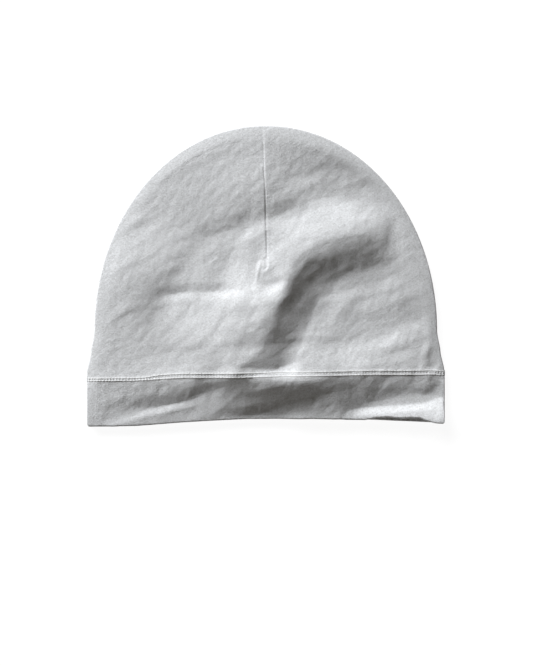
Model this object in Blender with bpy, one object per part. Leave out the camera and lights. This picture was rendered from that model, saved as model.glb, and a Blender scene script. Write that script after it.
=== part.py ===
"""Skull cap of white jersey, lying on its back as it was photographed.

Metres, +Z up off the surface, +Y from the hem to the crown, X across. Three pieces: the front and the back
crown panel, which meet along the outline seam, and the band, one tube of doubled jersey under both.
"""

from collections import namedtuple
from math import cos, pi, sin

import bpy
import numpy as np

# The cap's outline as it lies
BAND_WIDTH = 0.226  # across the band, from one side fold to the other
CAP_HEIGHT = 0.190  # from the hem's lower corner to the top of the dome
BAND_HEIGHT = 0.029  # hem to band seam, at the left side fold
HEM_RISE = 0.005  # how far the hem bows up between its corners
SEAM_RISE = 0.0042  # how far the band seam climbs over its left end
DOME_WIDTH = 0.2165  # across the crown where the sides turn into the dome
DOME_SPRING = 0.060  # height of that turn over the hem
DOME_POWER = 2.03  # 2 is an ellipse
SIDE_SPREAD = 0.0040  # how much wider than the dome the sides are at the flare's top
FLARE_HEIGHT = 0.016  # length over which the crown widens to the band

# The cloth and how high it lies
CLOTH = 0.0010  # one layer of jersey
BAND_WALL = 2 * CLOTH  # the band is folded double
FOLD_AIR = 0.0010  # air between the band's two walls at its side folds
FRONT_LOFT = 0.0100  # top of the crown's front over the surface, away from the edges and the folds
HEM_LOFT = 0.0072  # the same at the hem, to which the band comes down
LOFT_REACH = 0.042  # how far in from the outline that is reached
FOLD_FADE = 0.011  # folds die out over this width along the outline
FOLD_RISE = 0.006  # height of the main ridge over the cloth beside it
SEW_GAP = 0.0003  # clearance between pieces that are sewn together

# How finely the cloth is faceted
RIM_STEPS = 3
FRONT_ROWS, FRONT_SIDE, FRONT_DOME = 20, 9, 42
BACK_ROWS, BACK_SIDE, BACK_DOME = 5, 3, 24
SPINE = 0.37  # share of the dome's height that the panels' middle line climbs
BAND_ROWS = 7
HEM_STEPS = 4

HALF_WIDTH = BAND_WIDTH / 2
HALF_DOME = DOME_WIDTH / 2
DOME_HEIGHT = CAP_HEIGHT - DOME_SPRING
RIM = BAND_WALL + FOLD_AIR / 2  # radius of every edge, and the height of the outline seam

# Height of the hem and of the band seam across the cap, as shares of HEM_RISE and SEAM_RISE
Station = namedtuple("Station", "x hem seam")
STATIONS = [
    Station(-1.00, 0.00, 0.00),
    Station(-0.72, 0.08, 0.08),
    Station(-0.45, 0.55, 0.55),
    Station(-0.10, 0.95, 0.65),
    Station(0.25, 1.00, 0.80),
    Station(0.60, 0.85, 0.98),
    Station(0.90, 0.55, 0.98),
    Station(1.00, 0.45, 0.90),
]

# Folds of the front. Each runs through its points, x as a share of HALF_WIDTH and y of CAP_HEIGHT. Its rise is
# a share of FOLD_RISE, its widths, on its upper left and its lower right side, are shares of HALF_WIDTH, crease
# is 0 for a round crest and 1 for a sharp one, and ends is the share of its length over which each end dies out.
Fold = namedtuple("Fold", "name points rise upper lower crease ends")
FOLDS = [
    Fold("ridge, lower half", [(-0.16, 0.11), (-0.02, 0.26), (0.055, 0.40), (0.12, 0.56)], 0.90, 0.40, 0.20, 0.1, 0.35),
    Fold("ridge, upper half", [(-0.04, 0.42), (0.17, 0.565), (0.42, 0.640), (0.78, 0.68)], 1.00, 0.28, 0.24, 0.1, 0.26),
    Fold("foot of the ridge", [(0.00, 0.13), (0.14, 0.29), (0.36, 0.44), (0.80, 0.53)], -0.22, 0.12, 0.16, 0.0, 0.3),
    Fold("dip over the ridge", [(-0.36, 0.64), (-0.12, 0.69), (0.18, 0.735), (0.56, 0.765)], -0.22, 0.09, 0.16, 0.5, 0.3),
    Fold("crease at the upper right", [(0.32, 0.765), (0.50, 0.79), (0.68, 0.84)], -0.18, 0.06, 0.08, 0.6, 0.3),
    Fold("dip under the dart", [(-0.72, 0.40), (-0.45, 0.44), (-0.22, 0.45), (0.04, 0.475)], -0.30, 0.12, 0.24, 0.5, 0.3),
    Fold("swell on the left", [(-0.75, 0.26), (-0.30, 0.36), (0.10, 0.40)], 0.30, 0.28, 0.40, 0.0, 0.3),
    Fold("dip on the right", [(0.30, 0.262), (0.50, 0.280), (0.72, 0.312), (0.94, 0.335)], -0.14, 0.07, 0.14, 0.5, 0.3),
    Fold("swell on the right", [(0.40, 0.185), (0.62, 0.235), (0.90, 0.275)], 0.22, 0.10, 0.12, 0.0, 0.3),
    Fold("nick at the seam", [(-0.10, 0.168), (0.04, 0.192), (0.18, 0.22)], -0.22, 0.07, 0.10, 0.6, 0.3),
    Fold("band, dip on the left", [(-1.02, -0.015), (-0.60, 0.068), (-0.30, 0.115), (0.00, 0.15)], -0.34, 0.11, 0.10, 0.5, 0.3),
    Fold("band, ridge in the middle", [(-0.45, 0.13), (0.00, 0.166), (0.35, 0.176), (0.85, 0.178)], 0.35, 0.10, 0.24, 0.0, 0.3),
    Fold("band, dip in the middle", [(-0.34, -0.01), (0.03, 0.045), (0.28, 0.094), (0.60, 0.125)], -0.45, 0.16, 0.12, 0.3, 0.3),
    Fold("lifted mouth", [(0.34, -0.02), (0.70, 0.000), (1.06, 0.01)], 0.95, 0.20, 0.15, 0.0, 0.3),
    Fold("dip over the mouth", [(0.40, 0.045), (0.65, 0.07), (0.98, 0.088)], -0.12, 0.07, 0.07, 0.6, 0.3),
]


def ramp(t):
    """0 up to 0, 1 from 1, and a smooth step between."""
    t = np.clip(t, 0.0, 1.0)
    return t * t * (3.0 - 2.0 * t)


def hem_line(x):
    return HEM_RISE * np.interp(x / HALF_WIDTH, [s.x for s in STATIONS], [s.hem for s in STATIONS])


def seam_line(x):
    return BAND_HEIGHT + SEAM_RISE * np.interp(x / HALF_WIDTH, [s.x for s in STATIONS], [s.seam for s in STATIONS])


def half_width(y):
    """Half the cap's width at height y: the dome, then sides that spread, then a flare out to the band."""
    up = np.clip((y - DOME_SPRING) / DOME_HEIGHT, 0.0, 1.0)
    dome = HALF_DOME * (1.0 - up**DOME_POWER) ** (1.0 / DOME_POWER)
    flare_top = BAND_HEIGHT + SEAM_RISE + FLARE_HEIGHT
    spread = 0.5 * SIDE_SPREAD * np.clip((DOME_SPRING - y) / (DOME_SPRING - flare_top), 0.0, 1.0) ** 1.2
    side = HALF_DOME + spread
    side = side + (HALF_WIDTH - side) * ramp((flare_top - y) / FLARE_HEIGHT)
    return np.where(y > DOME_SPRING, dome, side)


def inset(x, y):
    """How far (x, y) lies in from the outline."""
    up = np.clip((y - DOME_SPRING) / DOME_HEIGHT, 0.0, None)
    share = ((np.abs(x) / HALF_DOME) ** DOME_POWER + up**DOME_POWER) ** (1.0 / DOME_POWER)
    return np.where(y > DOME_SPRING, (1.0 - share) * HALF_DOME, half_width(y) - np.abs(x))


def fold_height(fold, x, y):
    """One fold: a bump across the curve through its points, with its own width on each side of the crest."""
    points = np.array(fold.points) * [HALF_WIDTH, CAP_HEIGHT]
    chord = points[-1] - points[0]
    length = np.hypot(*chord)
    along = chord / length
    across = np.array([-along[1], along[0]])
    stations, offsets = (points - points[0]) @ along / length, (points - points[0]) @ across
    curve = np.polyfit(stations, offsets, len(points) - 1)
    u = ((x - points[0, 0]) * along[0] + (y - points[0, 1]) * along[1]) / length
    v = (x - points[0, 0]) * across[0] + (y - points[0, 1]) * across[1]
    held = np.clip(u, -0.05, 1.05)
    slope = np.polyval(np.polyder(curve), held) / length
    off = (v - np.polyval(curve, held)) / np.sqrt(1.0 + slope**2)
    q = np.clip(np.abs(off) / (HALF_WIDTH * np.where(off > 0.0, fold.upper, fold.lower)), 0.0, 1.0)
    bump = (1.0 - fold.crease) * (1.0 - q * q) ** 2 + fold.crease * (1.0 - q) ** 2 * (1.0 + 0.5 * q)
    return FOLD_RISE * fold.rise * ramp(u / fold.ends) * ramp((1.0 - u) / fold.ends) * bump


def front_height(x, y):
    """Height of the front's outer face, without the curl at its rim."""
    inward = np.clip(inset(x, y) / LOFT_REACH, 0.0, 1.0)
    down = np.clip((seam_line(x) - y) / BAND_HEIGHT, 0.0, 1.0)
    loft = FRONT_LOFT + (HEM_LOFT - FRONT_LOFT) * 0.5 * (down + ramp(down))
    folds = sum(fold_height(fold, x, y) for fold in FOLDS)
    return 2 * RIM + (loft - 2 * RIM) * (1.0 - (1.0 - inward) ** 2) + ramp(inset(x, y) / FOLD_FADE) * folds


def slopes(x, y):
    """Slopes of front_height along x and along y."""
    h = 0.0002
    return (
        (front_height(x + h, y) - front_height(x - h, y)) / (2 * h),
        (front_height(x, y + h) - front_height(x, y - h)) / (2 * h),
    )


def panel_plan(rows, side, dome):
    """The grid of a crown panel seen from above: its points, and how far each rim row has turned.

    Each column runs from the outline in to the panel's middle line. The lower columns lie level over the band
    seam, and the dome's fan round. Rim rows are evenly spaced round the curled edge. Returns x and y as arrays
    of columns by rows, and the turn of each row: 0 on the outline, a quarter turn from the rim's end inwards.
    """
    turns = np.concatenate([np.linspace(0.0, pi / 2, RIM_STEPS + 1), np.full(rows, pi / 2)])
    shares = np.concatenate([np.zeros(RIM_STEPS + 1), (np.arange(rows) + 1.0) / rows])
    edge = RIM * (1.0 - np.cos(turns))
    left, right, fan = [], [], []
    for way, columns in ((-1.0, left), (1.0, right)):
        corner = seam_line(way * HALF_WIDTH) + SEW_GAP / 2
        for k in np.arange(side) / side:
            width = half_width(corner + k * (DOME_SPRING - corner))
            x = way * (width - edge) * (1.0 - shares)
            foot = seam_line(x) + SEW_GAP / 2
            columns.append((x, foot + k * (DOME_SPRING - foot)))
    for angle in np.linspace(0.0, pi, dome + 1):
        way, c, s = (-1.0 if angle < pi / 2 else 1.0), abs(cos(angle)), abs(sin(angle))
        x0, y0 = c ** (2 / DOME_POWER), s ** (2 / DOME_POWER)
        lean = np.array([x0 ** (DOME_POWER - 1) / HALF_DOME, y0 ** (DOME_POWER - 1) / DOME_HEIGHT])
        lean /= np.hypot(*lean)
        x = way * (x0 * HALF_DOME - lean[0] * edge)
        y = DOME_SPRING + y0 * DOME_HEIGHT - lean[1] * edge
        middle = DOME_SPRING + SPINE * DOME_HEIGHT * s
        fan.append((x * (1.0 - shares), y + (middle - y) * shares))
    grid = np.array(left + fan + right[::-1])
    return grid[:, 0], grid[:, 1], turns


def panel_mesh(x, y, outer, inner):
    """Closed shell from two faces on one plan: quads on each, and a wall round the rim and along the seam.

    The last row is the middle line, which the columns left and right of it share.
    """
    columns, rows = x.shape
    half = columns // 2
    number = np.arange(columns * rows).reshape(columns, rows)
    number[half + 1 :, -1] = number[half - 1 :: -1, -1]
    points, faces = [], []
    for face, (px, py, pz) in enumerate((outer, inner)):
        points.append(np.stack([px, py, pz], axis=-1).reshape(-1, 3))
        n = number + face * columns * rows
        quads = np.stack([n[:-1, :-1], n[:-1, 1:], n[1:, 1:], n[1:, :-1]], axis=-1).reshape(-1, 4)
        faces.append(quads if face == 0 else quads[:, ::-1])
    low, high = number, number + columns * rows
    for edge in (number[:, 0], number[0, ::-1], number[-1, :]):
        far = edge + columns * rows
        faces.append(np.stack([edge[:-1], edge[1:], far[1:], far[:-1]], axis=-1))
    points = np.concatenate(points)
    quads = np.concatenate(faces)
    used = np.unique(quads)
    return points[used], np.searchsorted(used, quads)


def add_piece(name, points, faces, colour):
    """A mesh object with its own material, set with the middle of the cap over the origin."""
    points = points - [0.0, CAP_HEIGHT / 2, 0.0]
    mesh = bpy.data.meshes.new(name)
    mesh.from_pydata(points.tolist(), [], [list(dict.fromkeys(face)) for face in faces.tolist()])
    mesh.update()
    piece = bpy.data.objects.new(name, mesh)
    bpy.context.scene.collection.objects.link(piece)
    cloth = bpy.data.materials.new(name + "_jersey")
    cloth.use_nodes = True
    shader = cloth.node_tree.nodes["Principled BSDF"]
    shader.inputs["Base Color"].default_value = (*colour, 1.0)
    shader.inputs["Roughness"].default_value = 0.9
    cloth.diffuse_color = (*colour, 1.0)
    mesh.materials.append(cloth)
    return piece


def crown_front():
    """The front panel: curled at the outline, lofted and folded inside it, and cut off at the band seam."""
    x, y, turns = panel_plan(FRONT_ROWS, FRONT_SIDE, FRONT_DOME)
    foot = RIM + SEW_GAP / 2
    z = foot + (front_height(x, y) - foot) * np.sin(turns)
    slope_x, slope_y = slopes(x, y)
    slope_y[[0, -1]] = 0.0
    lean = np.sqrt(1.0 + slope_x**2 + slope_y**2)
    inner = [x + CLOTH * slope_x / lean, y + CLOTH * slope_y / lean, z - CLOTH / lean]
    rim = slice(0, RIM_STEPS)
    inner[2][:, rim] = foot + (front_height(x, y)[:, rim] - CLOTH - foot) * np.sin(turns[rim])
    turn_in(inner, x, y, turns, rim)
    return panel_mesh(x, y, (x, y, z), inner)


def turn_in(inner, x, y, turns, rim):
    """Sets the inner face's rim rows one layer of cloth inside the outer ones, along the rim's own radius."""
    inward_x, inward_y = x[:, RIM_STEPS] - x[:, 0], y[:, RIM_STEPS] - y[:, 0]
    inward_y[[0, -1]] = 0.0
    length = np.hypot(inward_x, inward_y)
    for row in range(rim.stop):
        step = CLOTH * cos(turns[row])
        inner[0][:, row] = x[:, row] + step * inward_x / length
        inner[1][:, row] = y[:, row] + step * inward_y / length


def crown_back():
    """The back panel: flat on the surface, with its rim curled up to the outline seam."""
    x, y, turns = panel_plan(BACK_ROWS, BACK_SIDE, BACK_DOME)
    foot = RIM - SEW_GAP / 2
    z = np.broadcast_to(foot * (1.0 - np.sin(turns)), x.shape)
    inner = [x.copy(), y.copy(), CLOTH + (foot - CLOTH) * (1.0 - np.sin(turns)) + 0.0 * x]
    turn_in(inner, x, y, turns, slice(0, RIM_STEPS))
    points, faces = panel_mesh(x, y, (x, y, z), inner)
    return points, faces[:, ::-1]


def band():
    """The band: closed loops round the cap, stacked from the seam to the hem, round it, and back up inside."""
    quarter = np.linspace(0.0, pi / 2, RIM_STEPS + 1)
    reach = HALF_WIDTH - RIM
    front = np.linspace(-reach, reach, 2 * FRONT_ROWS + 1)
    back = np.linspace(reach, -reach, 2 * BACK_ROWS + 1)
    upper, lower = quarter[:-1], -quarter[1:-1]
    turn = np.concatenate(
        [upper, np.full(front.size, pi / 2), upper[::-1], lower, np.full(back.size, -pi / 2), lower[::-1]]
    )
    folded = reach + RIM * np.cos(np.concatenate([upper[::-1], lower]))
    x = np.concatenate([-folded[RIM_STEPS - 1 :: -1], front, folded, back, -folded[: RIM_STEPS - 1 : -1]])
    bottom = hem_line(x) + BAND_WALL / 2
    top = seam_line(x) - SEW_GAP / 2
    loops = []
    for k in np.linspace(0.0, 1.0, BAND_ROWS + 1):
        loops.append(band_loop(x, top + (bottom - top) * k, turn, 0.0))
    for angle in np.linspace(0.0, pi, HEM_STEPS + 1)[1:-1]:
        y = bottom - BAND_WALL / 2 * sin(angle)
        loops.append(band_loop(x, y, turn, BAND_WALL / 2 * (1.0 - cos(angle))))
    for k in np.linspace(1.0, 0.0, BAND_ROWS + 1):
        loops.append(band_loop(x, top + (bottom - top) * k, turn, BAND_WALL))
    points = np.array(loops)
    count, around = points.shape[:2]
    n = np.arange(count * around).reshape(count, around)
    n = np.concatenate([n, n[:, :1]], axis=1)
    n = np.concatenate([n, n[:1]], axis=0)
    faces = np.stack([n[:-1, :-1], n[:-1, 1:], n[1:, 1:], n[1:, :-1]], axis=-1).reshape(-1, 4)
    return points.reshape(-1, 3), faces[:, ::-1]


def band_loop(x, y, turn, depth):
    """One loop round the band, depth inside its outer face, at the heights y along the cap."""
    upper = turn >= 0.0
    high = front_height(x, y)
    slope = np.where(turn == pi / 2, slopes(x, y)[0], 0.0)
    lean = np.sqrt(1.0 + slope**2)
    outwards = np.cos(turn) * np.sign(x)
    z = np.where(upper, RIM + (high - RIM) * np.sin(turn), RIM * (1.0 + np.sin(turn)))
    px = x - depth * np.where(np.abs(turn) < pi / 2, outwards, -slope / lean)
    pz = z - depth * np.where(np.abs(turn) < pi / 2, np.sin(turn), np.sign(turn) / lean)
    return np.stack([px, y, pz], axis=-1)


for old in list(bpy.data.objects):
    bpy.data.objects.remove(old)
add_piece("crown_front", *crown_front(), (0.62, 0.62, 0.60))
add_piece("crown_back", *crown_back(), (0.58, 0.58, 0.57))
add_piece("band", *band(), (0.55, 0.55, 0.54))
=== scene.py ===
"""Skull cap of white jersey, lying on its back as it was photographed, with its cloth, folds and stitching.

Metres, +Z up off the surface, +Y from the hem to the crown, X across, the middle of the cap over the origin.
Within a piece's own sums y is counted from the lowest corner of the hem.
"""

from collections import namedtuple

import bpy
import numpy as np
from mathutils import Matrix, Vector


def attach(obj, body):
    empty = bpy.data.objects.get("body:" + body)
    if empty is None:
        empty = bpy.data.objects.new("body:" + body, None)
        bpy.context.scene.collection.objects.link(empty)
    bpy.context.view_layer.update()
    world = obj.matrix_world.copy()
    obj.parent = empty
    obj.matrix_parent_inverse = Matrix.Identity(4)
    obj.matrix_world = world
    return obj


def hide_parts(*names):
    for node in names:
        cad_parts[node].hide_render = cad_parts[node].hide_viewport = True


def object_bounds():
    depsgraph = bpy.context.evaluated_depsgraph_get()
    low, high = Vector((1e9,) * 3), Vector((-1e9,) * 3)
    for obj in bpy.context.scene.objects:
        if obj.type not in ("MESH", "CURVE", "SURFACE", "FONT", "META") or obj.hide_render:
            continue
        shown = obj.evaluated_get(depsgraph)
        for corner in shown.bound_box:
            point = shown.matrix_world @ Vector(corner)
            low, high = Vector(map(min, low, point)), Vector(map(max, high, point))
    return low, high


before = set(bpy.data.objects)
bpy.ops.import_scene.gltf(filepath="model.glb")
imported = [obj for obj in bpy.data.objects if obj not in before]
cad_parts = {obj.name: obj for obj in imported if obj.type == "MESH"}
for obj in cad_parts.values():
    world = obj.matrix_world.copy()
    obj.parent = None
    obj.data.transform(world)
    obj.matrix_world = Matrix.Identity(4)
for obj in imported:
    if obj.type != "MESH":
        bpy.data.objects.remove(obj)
cad_box = [list(corner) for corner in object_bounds()]
scene = bpy.context.scene

# Camera: straight above the cap, as the photograph was taken, with the whole cap and a wide pale margin
# round it in view.
lens = bpy.data.cameras.new("camera")
lens.lens, lens.sensor_width = 60.0, 36.0
camera = bpy.data.objects.new("camera", lens)
camera.location = (0.0005, -0.0359, 0.7032)  # placed and raised to match the photograph's framing
scene.collection.objects.link(camera)
scene.camera = camera

# Surface and studio light: a pale table lit from within, as for a cut-out picture, a broad cool lamp low
# at the upper left that brings out the folds, and a weak warm fill from the room.
TABLE = 12.0  # across
LAMP_FROM = (-0.5476, 0.7267, 0.4147)  # 24.5 degrees up, from the upper left
LAMP_AWAY = 10.0


def pale_table():
    """A matt grey that glows evenly, so that the table is nearly white and takes only faint shadows."""
    material = bpy.data.materials.new("pale_table")
    material.use_nodes = True
    shader = material.node_tree.nodes["Principled BSDF"]
    shader.inputs["Base Color"].default_value = (0.16, 0.16, 0.16, 1.0)
    shader.inputs["Roughness"].default_value = 0.8
    shader.inputs["Emission Color"].default_value = (1.0, 1.0, 1.0, 1.0)
    shader.inputs["Emission Strength"].default_value = 0.93
    return material


corners = np.array([(-1, -1, 0), (1, -1, 0), (1, 1, 0), (-1, 1, 0)]) * TABLE / 2
table_mesh = bpy.data.meshes.new("table")
table_mesh.from_pydata(corners.tolist(), [], [(0, 1, 2, 3)])
table_mesh.materials.append(pale_table())
table = bpy.data.objects.new("table", table_mesh)
scene.collection.objects.link(table)

lamp = bpy.data.lights.new("lamp", "AREA")
lamp.shape = "RECTANGLE"
lamp.size, lamp.size_y = 8.6, 3.0
lamp.energy = 1810.0
lamp.color = (0.955, 0.975, 1.0)
lamp_stand = bpy.data.objects.new("lamp", lamp)
lamp_stand.location = [LAMP_AWAY * part for part in LAMP_FROM]
lamp_stand.rotation_euler = (-lamp_stand.location).to_track_quat("-Z", "Y").to_euler()
scene.collection.objects.link(lamp_stand)

room = bpy.data.worlds.new("room")
room.use_nodes = True
background = room.node_tree.nodes["Background"]
background.inputs["Color"].default_value = (1.0, 0.84, 0.64, 1.0)
background.inputs["Strength"].default_value = 0.04
scene.world = room
scene.view_settings.view_transform = "Standard"

# Crown, front: one panel of single jersey, cut as a dome, with a dart sewn down its middle. It is seamed
# to the back panel round the outline and to the band at the foot, and lies slack, in soft folds.
low, high = cad_box
BAND_WIDTH = high[0] - low[0]  # across the band, from one side fold to the other
CAP_HEIGHT = high[1] - low[1]  # from the hem's lower corner to the top of the dome
BAND_HEIGHT = 0.029  # hem to band seam, at the left side fold
HEM_RISE = 0.005  # how far the hem bows up between its corners
SEAM_RISE = 0.0042  # how far the band seam climbs over its left end
HEM_CORNER = 0.0022  # radius of the hem's corners
DOME_WIDTH = 0.2165  # across the crown where the sides turn into the dome
DOME_SPRING = 0.060  # height of that turn over the hem
DOME_POWER = 2.03  # 2 is an ellipse
SIDE_SPREAD = 0.0040  # how much wider than the dome the sides are at the flare's top
FLARE_HEIGHT = 0.016  # length over which the crown widens to the band
HALF_WIDTH = BAND_WIDTH / 2
HALF_DOME = DOME_WIDTH / 2
DOME_HEIGHT = CAP_HEIGHT - DOME_SPRING

CLOTH = 0.0010  # one layer of jersey
BAND_LAYERS = 4  # of cloth in the band, front and back, where they lie on each other
SEAM_UP = 0.0025  # height of the outline seam over the surface
LIP = 0.0009  # how far the outline's edges are tucked into their seam
LIP_TURN = 0.3  # radians of the curl, by which the cloth is out of the seam
CURL = 0.0009  # how far in from the outline the cloth curls over
EDGE_UP = 0.0038  # height of the front where its curl ends
RISE = 0.0011  # how much higher the front is just inside its edge, on the left and the top
RISE_REACH = 0.0090  # how far in that is reached
LOFT = 0.0016  # how much higher again it is over the middle
LOFT_REACH = 0.042
TAUT = 0.35  # the share of both that the right side lacks, where the cloth is pulled tight
TAUT_ABOVE = 0.50  # and how much more of them it lacks higher up
HEM_UP = 0.0045  # height of the front along the hem, where it lies on the band's back
PRESSED = 2.15 * CLOTH  # height of the front where it is pressed flat on the back
REST_ROUND = 0.0006  # how gently it comes to rest there
RIPPLE = 0.00005  # the jersey's own slight waves
FOLD_RISE = 0.006  # height of a fold with a rise of 1
FOLD_FADE = 0.011  # folds die out over this width along the outline
MOUTH_FADE = 0.12  # the share of that width beside the open mouth

# Heights of the hem and of the band seam across the cap, as shares of HEM_RISE and SEAM_RISE
Station = namedtuple("Station", "x hem seam")
STATIONS = [
    Station(-1.00, 0.00, 0.00),
    Station(-0.72, 0.08, 0.08),
    Station(-0.45, 0.55, 0.55),
    Station(-0.10, 0.95, 0.65),
    Station(0.25, 1.00, 0.80),
    Station(0.60, 0.85, 0.98),
    Station(0.90, 0.55, 0.98),
    Station(1.00, 0.45, 0.90),
]

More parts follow.
